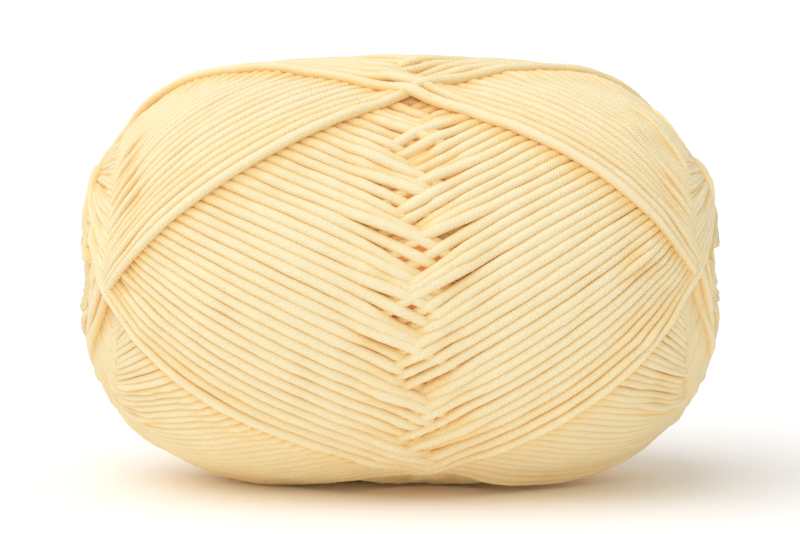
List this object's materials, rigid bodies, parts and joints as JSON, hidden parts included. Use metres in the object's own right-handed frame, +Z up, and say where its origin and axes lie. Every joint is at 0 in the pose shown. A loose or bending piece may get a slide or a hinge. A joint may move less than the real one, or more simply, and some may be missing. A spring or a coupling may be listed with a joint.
{
  "type": "ball of yarn",
  "caption": "Oblong machine-wound ball of soft cream-yellow knitting yarn, lying on its side on a small flat spot, to knit, stitch or dress a basket with.",
  "frame": {"origin": "middle of the flat spot that the ball rests on, under the middle of the ball", "axes": "+X along the ball's long winding axis, +Z up from the surface it rests on, -Y out of the side with the lowest V of strands"},
  "size_m": [0.1258, 0.0866, 0.0851],
  "materials": {
    "cream_yarn": "matte, soft plied yarn with a short nap"
  },
  "bodies": {
    "root": {"yarn_ball": "cream_yarn"}
  },
  "joints": []
}
